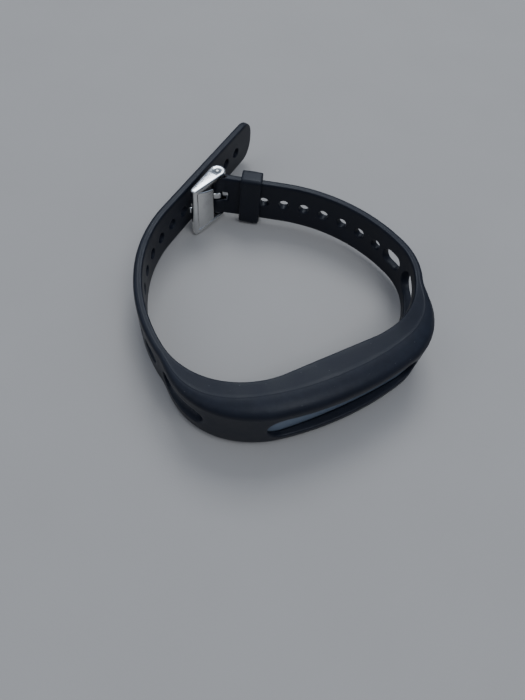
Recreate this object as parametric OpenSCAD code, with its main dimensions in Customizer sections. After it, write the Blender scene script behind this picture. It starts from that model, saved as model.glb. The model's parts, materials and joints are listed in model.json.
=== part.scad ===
// Fitness tracker band lying on its edge: a moulded strap with a pocket for
// a removable tracker capsule, a loose keeper and a pin buckle.
// Millimetres, +Z up along the strap's width, the window faces -Y.

/* [Band] */
// Width of the strap
strap_w = 13.2; // [12:0.2:15]
// Thickness of the strap
strap_t = 2.3; // [1.9:0.1:2.6]
// Rounding of the strap's long outer edges
strap_edge_r = 0.8; // [0.4:0.1:0.8]
// Rounding of the strap's long inner edges
inner_edge_r = 0.5; // [0.3:0.1:0.7]
// Straight run of the tail past its last bend
tail_run = 47; // [42:1:54]
// Straight run of the buckle arm from its last bend to the spring bar
buckle_run = 19.5; // [18:0.5:21]
// How much the tail's tip is blunter than a half circle
tip_blunt = 0.5; // [0.3:0.1:1.5]

/* [Socket] */
// Wall of the socket above and below the capsule
socket_wall = 1.15; // [0.9:0.05:2]
// Radius of the socket's front, seen from above
front_r = 85; // [75:1:100]
// Rounding of the socket's front edges, along its width
socket_edge_r = 2.4; // [1.8:0.1:3]
// Rounding of the socket's front edges, in from its front
socket_edge_in = 4.8; // [2.4:0.2:5.4]
// How far before the capsule's ends the socket starts to thin down
taper_lead = 5.5; // [3.5:0.5:7.5]
// Length over which it becomes the strap, towards the buckle
buckle_taper = 20; // [18:0.5:28]
// Length over which it becomes the strap, towards the tail
tail_taper = 27.5; // [24:0.5:32]
// Rim between the window's ends and the capsule's ends
rim_end = 0.8; // [0.8:0.1:2]
// Rim between the window and the capsule's long sides
rim_side = 2.7; // [2:0.1:3.2]
// Straight stretch in the window's two round ends
window_flat = 0.4; // [0.2:0.1:2]
// Thickness of the lip at the middle of the window
lip_t = 2.4; // [2:0.1:2.8]

/* [Slots and holes] */
// Band left between the capsule and the long slot
slot_1_web = 6.25; // [5:0.25:8]
// Length of the long slot
slot_1_len = 14.5; // [12:0.5:15]
// Height of the long slot
slot_1_h = 6.4; // [5:0.2:7]
// Band left between the long slot and the short one
slot_2_web = 2.45; // [2:0.05:4]
// Length of the short slot
slot_2_len = 6.6; // [5.5:0.1:7]
// Height of the short slot
slot_2_h = 4.4; // [3.4:0.2:5]
// Band left between the short slot and the first round hole
hole_web = 1.7; // [1.2:0.1:3]
// Pitch of the round holes
hole_pitch = 6; // [5:0.1:7]
// Diameter of the round holes
hole_d = 3; // [2.2:0.1:3.2]
// Bare length left at the tail's tip
tip_bare = 9; // [7:0.5:12]
// Bare length left before the spring bar
end_bare = 11; // [9:0.5:14]

/* [Buckle] */
// Radius of the spring bar's tube
bar_r = 0.9; // [0.75:0.05:1]
// Radius of the strap's rolled end around the spring bar
roll_r = 1.9; // [1.8:0.05:2.2]
// Distance from the spring bar to the far end of the buckle
buckle_len = 11.4; // [11:0.1:12]
// Thickness of each buckle arm, along the strap's width
arm_t = 1.6; // [1.2:0.1:2]
// Radius of the arm's eye around the spring bar
eye_r = 2.2; // [1.8:0.1:2.4]
// Radius of the arm's narrow end
arm_end_r = 1; // [0.8:0.1:1.3]
// Distance from the spring bar to the buckle's cross plate
plate_back = 4.3; // [3.8:0.1:5]
// Thickness of the cross plate
plate_t = 0.9; // [0.7:0.1:1.2]
// Width of the tongue
tongue_w = 2; // [1.6:0.1:2.2]
// Thickness of the tongue
tongue_t = 1; // [0.8:0.1:1.2]
// How far short of the buckle's far end the tongue stops
tongue_short = 0.3; // [0:0.1:0.8]

/* [Keeper] */
// Length of the keeper along the strap
keeper_len = 6; // [4:0.5:8]
// Wall of the keeper
keeper_t = 1.2; // [1:0.1:1.6]
// Middle of the keeper, measured back from the spring bar
keeper_back = 10; // [9.5:0.1:13]
// Rounding of the keeper's outer corners
keeper_r = 1.1; // [0.8:0.1:1.2]

/* [Tracker capsule] */
// Length of the capsule
capsule_len = 43; // [42.4:0.1:44]
// Height of the capsule
capsule_h = 14.6; // [13.6:0.2:15]
// Radius of the capsule's front, seen from above
capsule_front_r = 150; // [120:5:200]
// Radius of the capsule's corners
capsule_r = 6.2; // [5:0.2:6.6]
// Wall of the capsule's two shells
case_wall = 1; // [0.8:0.1:1.1]
// Thickness of the cover lens
lens_t = 0.8; // [0.6:0.1:1]
// Depth of the rear shell, from the wrist side to the split
rear_depth = 2.1; // [1.9:0.1:2.4]
// Thickness of the main board
board_t = 0.7; // [0.6:0.1:0.8]
// Thickness of the light guide
guide_t = 1.9; // [1.6:0.1:2.4]
// Length of the battery
battery_len = 16; // [12:0.5:17]
// Thickness of the battery
battery_t = 2.4; // [2:0.1:2.5]
// Radius of the vibration motor's can
motor_r = 1.6; // [1.4:0.05:1.6]

/* [Clearances] */
// Gap between the capsule and its pocket
pocket_gap = 0.15; // [0.1:0.05:0.3]
// Radial gap of a turning fit
turn_gap = 0.05; // [0.02:0.01:0.08]
// Gap between the strap's end and each buckle arm
side_gap = 0.15; // [0.1:0.05:0.3]
// Gap between the keeper and the strap
keeper_gap = 0.3; // [0.3:0.05:0.6]

/* [Hidden] */
$fn = 64;

// Stretches of each arm's inner face from the middle of the window:
// length along the strap and radius of the bend, 0 where it is straight.
buckle_arm = [[capsule_len / 2 - 10.5, 0], [26.5, 24.5], [10.5, 17], [37, 44], [buckle_run, 0]];
tail_arm = [[capsule_len / 2 - 8.5, 0], [32, 21.7], [24, 44.5], [20.5, 39.5], [tail_run, 0]];

// The capsule's layers from the wrist side to the front
glue_t = 0.15;
foam_t = 0.15;
led_t = 0.6;
guide_gap = 0.5;
capsule_t = case_wall + battery_t + foam_t + board_t + led_t + guide_t + guide_gap + lens_t;

// Socket and window, around the capsule
socket_w = capsule_h + 2 * (pocket_gap + socket_wall);
socket_t = capsule_t + pocket_gap + lip_t;
window_len = capsule_len - 2 * rim_end;
window_h = capsule_h - 2 * rim_side;
taper_from = capsule_len / 2 - taper_lead;
slot_1_at = (capsule_len + slot_1_len) / 2 + slot_1_web;
slot_2_at = slot_1_at + (slot_1_len + slot_2_len) / 2 + slot_2_web;
hole_at = slot_2_at + (slot_2_len + hole_d) / 2 + hole_web;

// Buckle and spring bar
arm_z = strap_w / 2 + side_gap;
far_x = buckle_len - arm_end_r;
plate_lean = 17;
plate_len = (far_x - plate_back) / cos(plate_lean);
tongue_len = buckle_len - tongue_short;
// Headings at rest, about +Z: the tongue lies against the far bar
rest_gap = 0.07;
buckle_heading = 208;
tongue_swing = -asin((arm_end_r + tongue_t / 2 + rest_gap) / far_x);
hub_r = bar_r + 0.8;
tongue_side = 0.45;
tube_z = strap_w / 2 - 0.05;
tube_wall = 0.22;
tube_cap = 0.3;
pin_r = bar_r / 2;
pin_hole_r = pin_r + turn_gap;
shoulder_r = bar_r - tube_wall - turn_gap;
shoulder_len = 1.7;
shoulder_z = tube_z - tube_cap - 0.05;
spring_wire = 0.24;

// Front of the capsule: depths in from the front's arc
front_in = lip_t + pocket_gap;
seat_in = front_in + lens_t + glue_t;
ledge_t = 0.6;
// Cover lens
lens_side = 0.6;
lens_len = capsule_len - 2 * lens_side;
lens_h = window_h + 1.6;
lens_r = lens_h / 2 - window_flat / 2;
lens_land = 0.9;
seal_t = 0.4;

// Inside the capsule: y runs from the wrist side, 0, to the front
motor_x = 7 - capsule_len / 2;
cradle_base = 0.3;
motor_y = -case_wall - cradle_base - motor_r;
motor_len = 6;
shaft_r = 0.4;
battery_x = capsule_len / 2 - 3.5 - battery_len;
battery_h = 11;
board_y = -case_wall - battery_t - foam_t;
board_front = board_y - board_t;
board_x0 = motor_x + motor_r + 1.3;
board_x1 = capsule_len / 2 - 5.5;
board_h = 9.6;
board_r = 1.5;
led_w = 1.6;
led_h = 0.8;
led_pitch = 4;
guide_len = 3 * led_pitch;
guide_h = 3;
guide_r = 0.8;
chip_t = 0.8;
antenna_len = 14;
antenna_h = 1;
antenna_t = 0.2;
antenna_edge = 0.4;
battery_r = 1.2;
foam_edge = 1.5;
tab_len = 0.8;
tab_h = 1.2;
tab_z = 2;
tab_t = 0.6;
weight_r = motor_r - 0.2;
weight_len = 3.2;
weight_z = 1.6;
shaft_z = -0.9;
shaft_top = weight_z + weight_len;
can_z = 1;
cradle_side = 0.6;
cradle_deep = 0.5;
cradle_z = [-4.5, 0.5];
sensor_x = -5;
sensor_w = 8;
sensor_h = 6.5;
sensor_r = 1.6;
sensor_proud = 0.5;
sensor_part_t = 0.6;
sensor_edge = 0.5;
contact_x = capsule_len / 2 - 2.2;
contact_z = 2.2;
contact_r = 0.9;
contact_len = 1.5;

function total(arm, i = 0) = i == len(arm) ? 0 : arm[i][0] + total(arm, i + 1);
buckle_end = total(buckle_arm);
tail_end = total(tail_arm);
mid_z = socket_w / 2;

// Place [x, y, heading] at distance s along an arm that bends to the left
function walk(arm, s, i = 0, p = [0, 0, 0]) =
    let(
        last = i == len(arm) - 1,
        run = last ? s : min(s, arm[i][0]),
        r = arm[i][1],
        turned = r == 0 ? 0 : run / r * 180 / PI,
        h = p.z + turned,
        q = r == 0
            ? [p.x + run * cos(h), p.y + run * sin(h), h]
            : [p.x + r * (sin(h) - sin(p.z)), p.y - r * (cos(h) - cos(p.z)), h]
    )
    last || s <= arm[i][0] ? q : walk(arm, s - arm[i][0], i + 1, q);

// Place on the whole band's inner face: s runs from the tail, below 0, past
// the middle of the window at 0, to the spring bar
function spot(s) =
    s >= 0 ? walk(buckle_arm, s) : let(p = walk(tail_arm, -s)) [-p.x, p.y, -p.z];

function fade(s) =
    let(
        taper = s > 0 ? buckle_taper : tail_taper,
        k = min(1, max(0, (abs(s) - taper_from) / taper))
    )
    k * k * (3 - 2 * k);
function mix(a, b, k) = a + (b - a) * k;

// Centre of the front's arc, on the Y axis
front_y = front_r - socket_t;
// Distance from the inner face out to the front's arc
function crown(p) =
    let(c = p.x * sin(p.z) - (p.y - front_y) * cos(p.z))
    -c + sqrt(c * c - p.x * p.x - pow(p.y - front_y, 2) + front_r * front_r);
function thick(s) =
    fade(s) == 1 ? strap_t : mix(crown(spot(s)), strap_t, fade(s));
function half_w(s) = mix(socket_w, strap_w, fade(s)) / 2;

// Quarter of an ellipse about [x, z] with the radii [rx, rz], from the angle a
function quarter(x, z, rx, rz, a, steps) =
    [for (i = [0:steps]) [x + rx * cos(a + 90 * i / steps), z + rz * sin(a + 90 * i / steps)]];
// Outline of the band's section at s: [distance out, height]
function section(s) =
    let(
        t = thick(s),
        h = half_w(s),
        rz = mix(socket_edge_r, strap_edge_r, fade(s)),
        rx = mix(socket_edge_in, strap_edge_r, fade(s)),
        ri = inner_edge_r
    )
    concat(
        quarter(t - rx, h - rz, rx, rz, 0, 5),
        quarter(ri, h - ri, ri, ri, 90, 2),
        quarter(ri, ri - h, ri, ri, 180, 2),
        quarter(t - rx, rz - h, rx, rz, 270, 5)
    );

station_step = 2.4;
stations = [
    for (i = [0:1:ceil((buckle_end + tail_end) / station_step)])
        min(buckle_end, i * station_step - tail_end)
];
outline = [
    for (s = stations)
        let(p = spot(s), t = thick(s)) [p.x + t * sin(p.z), p.y - t * cos(p.z)]
];
// The origin is under the middle of the band's box
box_x = (max([for (p = outline) p.x]) + min([for (p = outline) p.x])) / 2;
box_y = (max([for (p = outline) p.y]) + min([for (p = outline) p.y])) / 2;

// Places children in the band's own frame: window at x = 0, inner face y = 0
module in_band() {
    translate([-box_x, -box_y, mid_z]) children();
}

// Places children at s: +X along the band, +Y to the inside of the loop
module along(s) {
    p = spot(s);
    translate([p.x, p.y, 0]) rotate([0, 0, p.z]) children();
}

// Straight-sided block in X and Z with round corners, from y0 to y1
module plate_y(w, h, r, y0, y1) {
    translate([0, y1, 0]) rotate([90, 0, 0]) linear_extrude(y1 - y0) rounded(w, h, r);
}
module rounded(w, h, r) {
    square([w, h - 2 * r], center = true);
    square([w - 2 * r, h], center = true);
    for (x = [-1, 1], y = [-1, 1])
        translate([x * (w / 2 - r), y * (h / 2 - r)]) circle(r);
}
// Round pin along Y from y0 to y1
module pin_y(r, y0, y1) {
    translate([0, y1, 0]) rotate([90, 0, 0]) cylinder(r = r, h = y1 - y0);
}
// Everything behind the capsule's front arc, depth in from the band's front
module behind_front(depth) {
    translate([0, capsule_front_r + lip_t - socket_t, -socket_w])
        cylinder(r = capsule_front_r + lip_t - depth, h = 2 * socket_w, $fn = 720);
}
module box_at(x0, x1, y0, y1, z0, z1) {
    translate([x0, y0, z0]) cube([x1 - x0, y1 - y0, z1 - z0]);
}

// Places children on the spring bar's axis, not turned
module at_bar() {
    p = spot(buckle_end);
    translate([p.x + strap_t / 2 * sin(p.z), p.y - strap_t / 2 * cos(p.z), 0]) children();
}

/* ---------- strap ---------- */

module strap_blank() {
    rings = [for (s = stations) section(s)];
    n = len(rings[0]);
    m = len(stations);
    points = [
        for (i = [0:m - 1])
            let(p = spot(stations[i]))
                for (q = rings[i]) [p.x + q.x * sin(p.z), p.y - q.x * cos(p.z), q.y]
    ];
    sides = [
        for (i = [0:m - 2], j = [0:n - 1])
            let(a = i * n + j, b = i * n + (j + 1) % n)
                each [[a, b, a + n], [b, b + n, a + n]]
    ];
    caps = [[for (j = [n - 1:-1:0]) j], [for (j = [0:n - 1]) (m - 1) * n + j]];
    polyhedron(points, concat(sides, caps));
}

// Round hole straight through the strap, off to one side of s by x
module hole_through(s, d, x = 0) {
    along(s) translate([x, socket_t, 0]) rotate([90, 0, 0]) cylinder(d = d, h = 3 * socket_t);
}
// Slot with round ends through the strap at s
module slot_through(s, length, height) {
    straight = length - height;
    along(s) box_at(-straight / 2, straight / 2, -2 * socket_t, socket_t, -height / 2, height / 2);
    for (side = [-1, 1]) hole_through(s, height, side * straight / 2);
}

module strap() {
    slot_half = tongue_w / 2 + tongue_side;
    slot_depth = roll_r + tongue_t + tongue_side;
    tip_r = strap_w / 2 + tip_blunt;
    color("#1c2430") in_band() difference() {
        union() {
            strap_blank();
            at_bar() cylinder(r = roll_r, h = strap_w, center = true);
        }
        // pocket and window
        intersection() {
            plate_y(
                capsule_len + 2 * pocket_gap, capsule_h + 2 * pocket_gap, capsule_r + pocket_gap,
                -socket_t, socket_t
            );
            behind_front(lip_t);
        }
        plate_y(window_len, window_h, (window_h - window_flat) / 2, -2 * socket_t, 0);
        // slots and holes, alike on both arms
        for (side = [-1, 1]) {
            slot_through(side * slot_1_at, slot_1_len, slot_1_h);
            slot_through(side * slot_2_at, slot_2_len, slot_2_h);
        }
        for (s = [hole_at:hole_pitch:buckle_end - end_bare]) hole_through(s, hole_d);
        for (s = [hole_at:hole_pitch:tail_end - tip_bare]) hole_through(-s, hole_d);
        // round tip of the tail
        along(-tail_end) difference() {
            box_at(-1, tip_r, -socket_t, socket_t, -strap_w, strap_w);
            translate([tip_r, 2 * socket_t, 0]) rotate([90, 0, 0]) cylinder(r = tip_r, h = 4 * socket_t);
        }
        // tunnel for the spring bar and slot for the tongue's hub
        at_bar() {
            cylinder(r = bar_r + turn_gap, h = 2 * strap_w, center = true);
            rotate([0, 0, spot(buckle_end).z])
                box_at(-slot_depth, 2 * roll_r, -2 * roll_r, 2 * roll_r, -slot_half, slot_half);
        }
    }
}

/* ---------- keeper ---------- */

module keeper() {
    room = [strap_t + 2 * keeper_gap, strap_w + 2 * keeper_gap];
    color("#202a38") in_band() along(buckle_end - keeper_back)
        translate([-keeper_len / 2, -strap_t / 2, 0]) rotate([90, 0, 90]) linear_extrude(keeper_len)
            difference() {
                rounded(room.x + 2 * keeper_t, room.y + 2 * keeper_t, keeper_r);
                square(room, center = true);
            }
}

/* ---------- buckle ---------- */

// Two circles on the X axis and the straight tangents that join them
module teardrop(r0, r1, distance) {
    a = acos((r0 - r1) / distance);
    circle(r0);
    translate([distance, 0]) circle(r1);
    polygon([
        for (q = [[0, r0, 1], [0, r0, -1], [distance, r1, -1], [distance, r1, 1]])
            [q[0] + q[1] * cos(a), q[2] * q[1] * sin(a)]
    ]);
}

module buckle_frame() {
    plate_far = arm_z + 0.3 * arm_t;
    plate_near = arm_z - 0.7 * arm_t;
    color("#c9ccd0") in_band() at_bar() rotate([0, 0, buckle_heading]) {
        for (side = [-1, 1])
            translate([0, 0, side * (arm_z + arm_t / 2) - arm_t / 2]) linear_extrude(arm_t)
                difference() {
                    teardrop(eye_r, arm_end_r, far_x);
                    circle(pin_hole_r);
                }
        translate([far_x, 0, -arm_z - arm_t]) cylinder(r = arm_end_r, h = 2 * (arm_z + arm_t));
        translate([far_x, 0, 0]) rotate([0, 0, 180 - plate_lean])
            translate([0, plate_t / 2, 0]) rotate([90, 0, 0]) linear_extrude(plate_t)
                polygon([
                    [0, -plate_far], [plate_len, -plate_near], [plate_len, plate_near], [0, plate_far]
                ]);
    }
}

module buckle_tongue() {
    color("#d4d6d9") in_band() at_bar() rotate([0, 0, buckle_heading + tongue_swing])
        difference() {
            union() {
                cylinder(r = hub_r, h = tongue_w, center = true);
                box_at(0, tongue_len - tongue_t / 2, -tongue_t / 2, tongue_t / 2, -tongue_w / 2, tongue_w / 2);
                translate([tongue_len - tongue_t / 2, 0, 0])
                    cylinder(r = tongue_t / 2, h = tongue_w, center = true);
            }
            cylinder(r = bar_r + turn_gap, h = 2 * tongue_w, center = true);
        }
}

module spring_bar_tube() {
    color("#b4b7bb") in_band() at_bar() difference() {
        cylinder(r = bar_r, h = 2 * tube_z, center = true);
        cylinder(r = bar_r - tube_wall, h = 2 * (tube_z - tube_cap), center = true);
        cylinder(r = pin_hole_r, h = 3 * tube_z, center = true);
    }
}

module plunger() {
    color("#b4b7bb") in_band() at_bar() {
        translate([0, 0, shoulder_z - shoulder_len]) cylinder(r = shoulder_r, h = shoulder_len);
        translate([0, 0, shoulder_z - shoulder_len / 2])
            cylinder(r = pin_r, h = arm_z + 0.8 * arm_t - shoulder_z + shoulder_len / 2);
    }
}
module spring_bar_plunger_upper() plunger();
module spring_bar_plunger_lower() translate([0, 0, 2 * mid_z]) mirror([0, 0, 1]) plunger();

module spring_bar_spring() {
    turns = 12;
    steps = 10;
    sides = 6;
    coil_r = bar_r - tube_wall - spring_wire / 2 - turn_gap;
    half = shoulder_z - shoulder_len - spring_wire / 2;
    rings = turns * steps;
    points = [
        for (i = [0:rings], j = [0:sides - 1])
            let(
                a = 360 * i / steps,
                b = 360 * j / sides,
                r = coil_r + spring_wire / 2 * cos(b),
                z = -half + 2 * half * i / rings + spring_wire / 2 * sin(b)
            )
            [r * cos(a), r * sin(a), z]
    ];
    skin = [
        for (i = [0:rings - 1], j = [0:sides - 1])
            let(a = i * sides + j, b = i * sides + (j + 1) % sides)
                each [[a, b, a + sides], [b, b + sides, a + sides]]
    ];
    caps = [[for (j = [sides - 1:-1:0]) j], [for (j = [0:sides - 1]) rings * sides + j]];
    color("#8d9094") in_band() at_bar() polyhedron(points, concat(skin, caps));
}

/* ---------- tracker capsule ---------- */

// Slice of the capsule's outline, drawn in from its edge, from y0 to y1
module slice(inset, y0, y1) {
    plate_y(capsule_len - 2 * inset, capsule_h - 2 * inset, capsule_r - inset, y0, y1);
}
// Slice of the cover lens's outline
module lens_slice(inset, y0, y1) {
    plate_y(lens_len - 2 * inset, lens_h - 2 * inset, lens_r - inset, y0, y1);
}

module front_case() {
    color("#22262c") in_band() difference() {
        intersection() {
            slice(0, -socket_t, -rear_depth);
            behind_front(front_in);
        }
        difference() {
            lens_slice(0, -socket_t, 0);
            behind_front(seat_in);
        }
        lens_slice(lens_land, -socket_t, 0);
        intersection() {
            slice(case_wall, -socket_t, 0);
            behind_front(seat_in + ledge_t);
        }
    }
}

module rear_case() {
    color("#1b1e23") in_band() difference() {
        slice(0, -rear_depth, 0);
        slice(case_wall, -socket_t, -case_wall);
        seal_ring();
        translate([sensor_x, 0, 0]) plate_y(sensor_w, sensor_h, sensor_r, -socket_t, socket_t);
        contact_places() pin_y(contact_r, -socket_t, socket_t);
    }
}

module seal_ring() {
    difference() {
        slice(case_wall / 4, -rear_depth, seal_t - rear_depth);
        slice(case_wall * 3 / 4, -socket_t, socket_t);
    }
}
module case_seal() color("#3a3f45") in_band() seal_ring();

module cover_lens() {
    color("#55606c") in_band() difference() {
        intersection() {
            lens_slice(0, -socket_t, 0);
            behind_front(front_in);
        }
        behind_front(front_in + lens_t);
    }
}

module lens_adhesive() {
    color("#111317") in_band() difference() {
        intersection() {
            lens_slice(0, -socket_t, 0);
            behind_front(front_in + lens_t);
        }
        behind_front(seat_in);
        lens_slice(lens_land, -socket_t, socket_t);
    }
}

module light_guide() {
    guide_back = board_front - led_t;
    color("#e8edf0") in_band() plate_y(guide_len, guide_h, guide_r, guide_back - guide_t, guide_back);
}

module status_leds() {
    color("#f4f1d8") in_band() for (x = [-led_pitch, 0, led_pitch])
        box_at(x - led_w / 2, x + led_w / 2, board_front - led_t, board_front, -led_h / 2, led_h / 2);
}

module main_board() {
    color("#1d5c3a") in_band() translate([(board_x0 + board_x1) / 2, 0, 0])
        plate_y(board_x1 - board_x0, board_h, board_r, board_front, board_y);
}

// Chip on the front of the main board
module chip(x, z, size) {
    box_at(x - size / 2, x + size / 2, board_front - chip_t, board_front, z - size / 2, z + size / 2);
}
module radio_chip() color("#26282b") in_band() chip(10.5, 0, 5);
module motion_sensor() color("#303236") in_band() chip(-8.2, 1.6, 2.5);
module charger_chip() color("#2b2d30") in_band() chip(-8.2, -2.4, 2);

module antenna() {
    color("#b87f3c") in_band()
        box_at(
            -antenna_len / 2, antenna_len / 2, board_front - antenna_t, board_front,
            board_h / 2 - antenna_edge - antenna_h, board_h / 2 - antenna_edge
        );
}

module battery() {
    color("#9aa0a6") in_band() translate([battery_x + battery_len / 2, 0, 0])
        plate_y(battery_len, battery_h, battery_r, -case_wall - battery_t, -case_wall);
}

module battery_foam() {
    color("#4a4d52") in_band() translate([battery_x + battery_len / 2, 0, 0])
        plate_y(battery_len - 2 * foam_edge, board_h - foam_edge, board_r, board_y, board_y + foam_t);
}

module battery_tabs() {
    color("#c8cbce") in_band() for (z = [-tab_z, tab_z])
        box_at(
            battery_x - tab_len, battery_x, board_y, -case_wall - tab_t, z - tab_h / 2, z + tab_h / 2
        );
}

// Places children on the motor's axis
module at_motor() {
    translate([motor_x, motor_y, 0]) children();
}

module motor_can() {
    color("#b9bcc0") in_band() at_motor() difference() {
        translate([0, 0, can_z - motor_len]) cylinder(r = motor_r, h = motor_len);
        translate([0, 0, shaft_z - turn_gap]) cylinder(r = shaft_r + turn_gap, h = motor_len);
    }
}

module motor_weight() {
    color("#8b8478") in_band() at_motor() {
        translate([0, 0, shaft_z]) cylinder(r = shaft_r, h = shaft_top - shaft_z);
        translate([0, 0, weight_z]) difference() {
            cylinder(r = weight_r, h = weight_len);
            box_at(
                shaft_r / 2, 2 * weight_r, -2 * weight_r, 2 * weight_r, -weight_len, 2 * weight_len
            );
        }
    }
}

module motor_cradle() {
    color("#2d3033") in_band() difference() {
        box_at(
            motor_x - motor_r - cradle_side, motor_x + motor_r + cradle_side,
            motor_y - cradle_deep, -case_wall, cradle_z[0], cradle_z[1]
        );
        at_motor() cylinder(r = motor_r, h = 4 * motor_len, center = true);
    }
}

module sensor_window() {
    color("#14161a") in_band() translate([sensor_x, 0, 0])
        plate_y(sensor_w, sensor_h, sensor_r, -case_wall, sensor_proud);
}

module sensor_board() {
    color("#20573c") in_band() translate([sensor_x, 0, 0])
        plate_y(
            sensor_w + 2 * sensor_edge, sensor_h + 2 * sensor_edge, sensor_r,
            -case_wall - 2 * sensor_part_t, -case_wall - sensor_part_t
        );
}

// Part on the sensor's board, against the window
module sensor_part(x, w, h) {
    box_at(
        sensor_x + x - w / 2, sensor_x + x + w / 2, -case_wall - sensor_part_t, -case_wall,
        -h / 2, h / 2
    );
}
module sensor_leds() color("#59d36a") in_band() for (x = [-2.6, 2.6]) sensor_part(x, 1.2, 1.4);
module photodiode() color("#3b3f63") in_band() sensor_part(0, 2.2, 2.2);

module contact_places() {
    for (z = [-contact_z, contact_z]) translate([contact_x, 0, z]) children();
}
module charging_contacts() color("#d9b45a") in_band() contact_places() pin_y(contact_r, -contact_len, 0);

strap();
keeper();
buckle_frame();
buckle_tongue();
spring_bar_tube();
spring_bar_plunger_upper();
spring_bar_plunger_lower();
spring_bar_spring();
front_case();
rear_case();
case_seal();
cover_lens();
lens_adhesive();
light_guide();
status_leds();
main_board();
radio_chip();
motion_sensor();
charger_chip();
antenna();
battery();
battery_foam();
battery_tabs();
motor_can();
motor_weight();
motor_cradle();
sensor_window();
sensor_board();
sensor_leds();
photodiode();
charging_contacts();
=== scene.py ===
"""Looks of the fitness tracker band. Lengths are in millimetres until a mesh is made."""

import json
import math

import bmesh
import bpy
from mathutils import Matrix, Vector, kdtree
from mathutils.geometry import delaunay_2d_cdt


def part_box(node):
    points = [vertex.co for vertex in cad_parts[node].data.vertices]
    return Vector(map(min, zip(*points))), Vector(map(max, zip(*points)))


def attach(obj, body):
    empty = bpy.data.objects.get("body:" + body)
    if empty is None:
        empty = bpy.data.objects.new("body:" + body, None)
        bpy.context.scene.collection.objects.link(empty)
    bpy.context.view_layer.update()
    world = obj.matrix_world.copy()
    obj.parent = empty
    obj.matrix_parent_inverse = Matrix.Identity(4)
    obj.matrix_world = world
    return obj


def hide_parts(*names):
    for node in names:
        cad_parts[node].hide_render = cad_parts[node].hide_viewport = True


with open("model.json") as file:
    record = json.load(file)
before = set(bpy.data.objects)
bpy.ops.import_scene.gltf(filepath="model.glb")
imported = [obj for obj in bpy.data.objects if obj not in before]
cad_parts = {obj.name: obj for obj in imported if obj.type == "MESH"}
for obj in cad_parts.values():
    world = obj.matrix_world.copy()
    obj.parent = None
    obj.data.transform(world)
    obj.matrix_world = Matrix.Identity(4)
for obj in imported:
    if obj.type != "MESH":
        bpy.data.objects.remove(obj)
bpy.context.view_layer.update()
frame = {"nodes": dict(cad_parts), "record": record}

MM = 0.001

# ---------- sizes shared with the CAD model ----------

STRAP_W = 13.2
STRAP_T = 2.3
STRAP_EDGE_R = 0.8
INNER_EDGE_R = 0.5
SOCKET_W = 17.2
SOCKET_T = 10.6
SOCKET_EDGE_R = 2.4
SOCKET_EDGE_IN = 4.8
FRONT_R = 85.0
TAPER_FROM = 16.0
BUCKLE_TAPER = 20.0
TAIL_TAPER = 27.5
LIP_T = 2.4
WINDOW_LEN = 41.4
WINDOW_H = 9.2
WINDOW_FLAT = 0.4
CAPSULE_LEN = 43.0
CAPSULE_H = 14.6
CAPSULE_FRONT_R = 150.0
CAPSULE_R = 6.2
POCKET_GAP = 0.15

# Stretches of each arm's inner face from the middle of the window: length, radius (0 is straight)
BUCKLE_ARM = [(11.0, 0), (26.5, 24.5), (10.5, 17.0), (37.0, 44.0), (19.5, 0)]
TAIL_ARM = [(13.0, 0), (32.0, 21.7), (24.0, 44.5), (20.5, 39.5), (47.0, 0)]
BUCKLE_END = sum(length for length, _ in BUCKLE_ARM)
TAIL_END = sum(length for length, _ in TAIL_ARM)

# Slots as (middle, length, height), on both arms
SLOTS = [(35.0, 14.5, 6.4), (48.0, 6.6, 4.4)]
HOLE_AT = 54.5
TIP_BARE = 9.0
END_BARE = 11.0
HOLE_PITCH = 6.0
HOLE_D = 3.0

BAR_R = 0.9
TURN_GAP = 0.05
ROLL_R = 1.9
TONGUE_W = 2.0
TONGUE_T = 1.0
TONGUE_LEN = 11.1
TONGUE_SIDE = 0.45
HUB_R = 1.7
BUCKLE_HEADING = math.radians(208)
BUCKLE_LEN = 11.4
ARM_T = 1.6
EYE_R = 2.2
ARM_END_R = 1.0
REST_GAP = 0.07
TONGUE_SWING = -math.asin((ARM_END_R + TONGUE_T / 2 + REST_GAP) / (BUCKLE_LEN - ARM_END_R))
ARM_Z = STRAP_W / 2 + 0.15
PLATE_BACK = 4.3
PLATE_T = 0.9
PLATE_LEAN = math.radians(17)

KEEPER_LEN = 6.0
KEEPER_T = 1.2
KEEPER_BACK = 10.0
KEEPER_R = 1.1
KEEPER_GAP = 0.3

# The band's own frame: the window's middle at x = 0, the inner face at y = 0, mid-width at z = 0
rear_low, rear_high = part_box("rear_case")
BAND = Vector(((rear_low.x + rear_high.x) / 2, rear_high.y, (rear_low.z + rear_high.z) / 2)) / MM


# ---------- the band's line and section ----------


def mix(a, b, k):
    return a + (b - a) * k


def walk(arm, distance):
    """Place (x, y, heading) at a distance along an arm that bends to the left."""
    x = y = heading = 0.0
    for index, (length, radius) in enumerate(arm):
        last = index == len(arm) - 1
        run = distance if last else min(distance, length)
        if radius:
            turned = heading + run / radius
            x += radius * (math.sin(turned) - math.sin(heading))
            y -= radius * (math.cos(turned) - math.cos(heading))
            heading = turned
        else:
            x += run * math.cos(heading)
            y += run * math.sin(heading)
        distance -= run
        if distance <= 0:
            break
    return x, y, heading


def spot(s):
    """Place on the inner face: s runs from the tail, below 0, to the spring bar."""
    if s >= 0:
        return walk(BUCKLE_ARM, s)
    x, y, heading = walk(TAIL_ARM, -s)
    return -x, y, -heading


def fade(s):
    taper = BUCKLE_TAPER if s > 0 else TAIL_TAPER
    k = min(1.0, max(0.0, (abs(s) - TAPER_FROM) / taper))
    return k * k * (3 - 2 * k)


def crown(s):
    """Distance from the inner face out to the front's arc."""
    x, y, heading = spot(s)
    y -= FRONT_R - SOCKET_T
    c = x * math.sin(heading) - y * math.cos(heading)
    return -c + math.sqrt(c * c - x * x - y * y + FRONT_R**2)


def thick(s):
    k = fade(s)
    return STRAP_T if k == 1 else mix(crown(s), STRAP_T, k)


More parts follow.
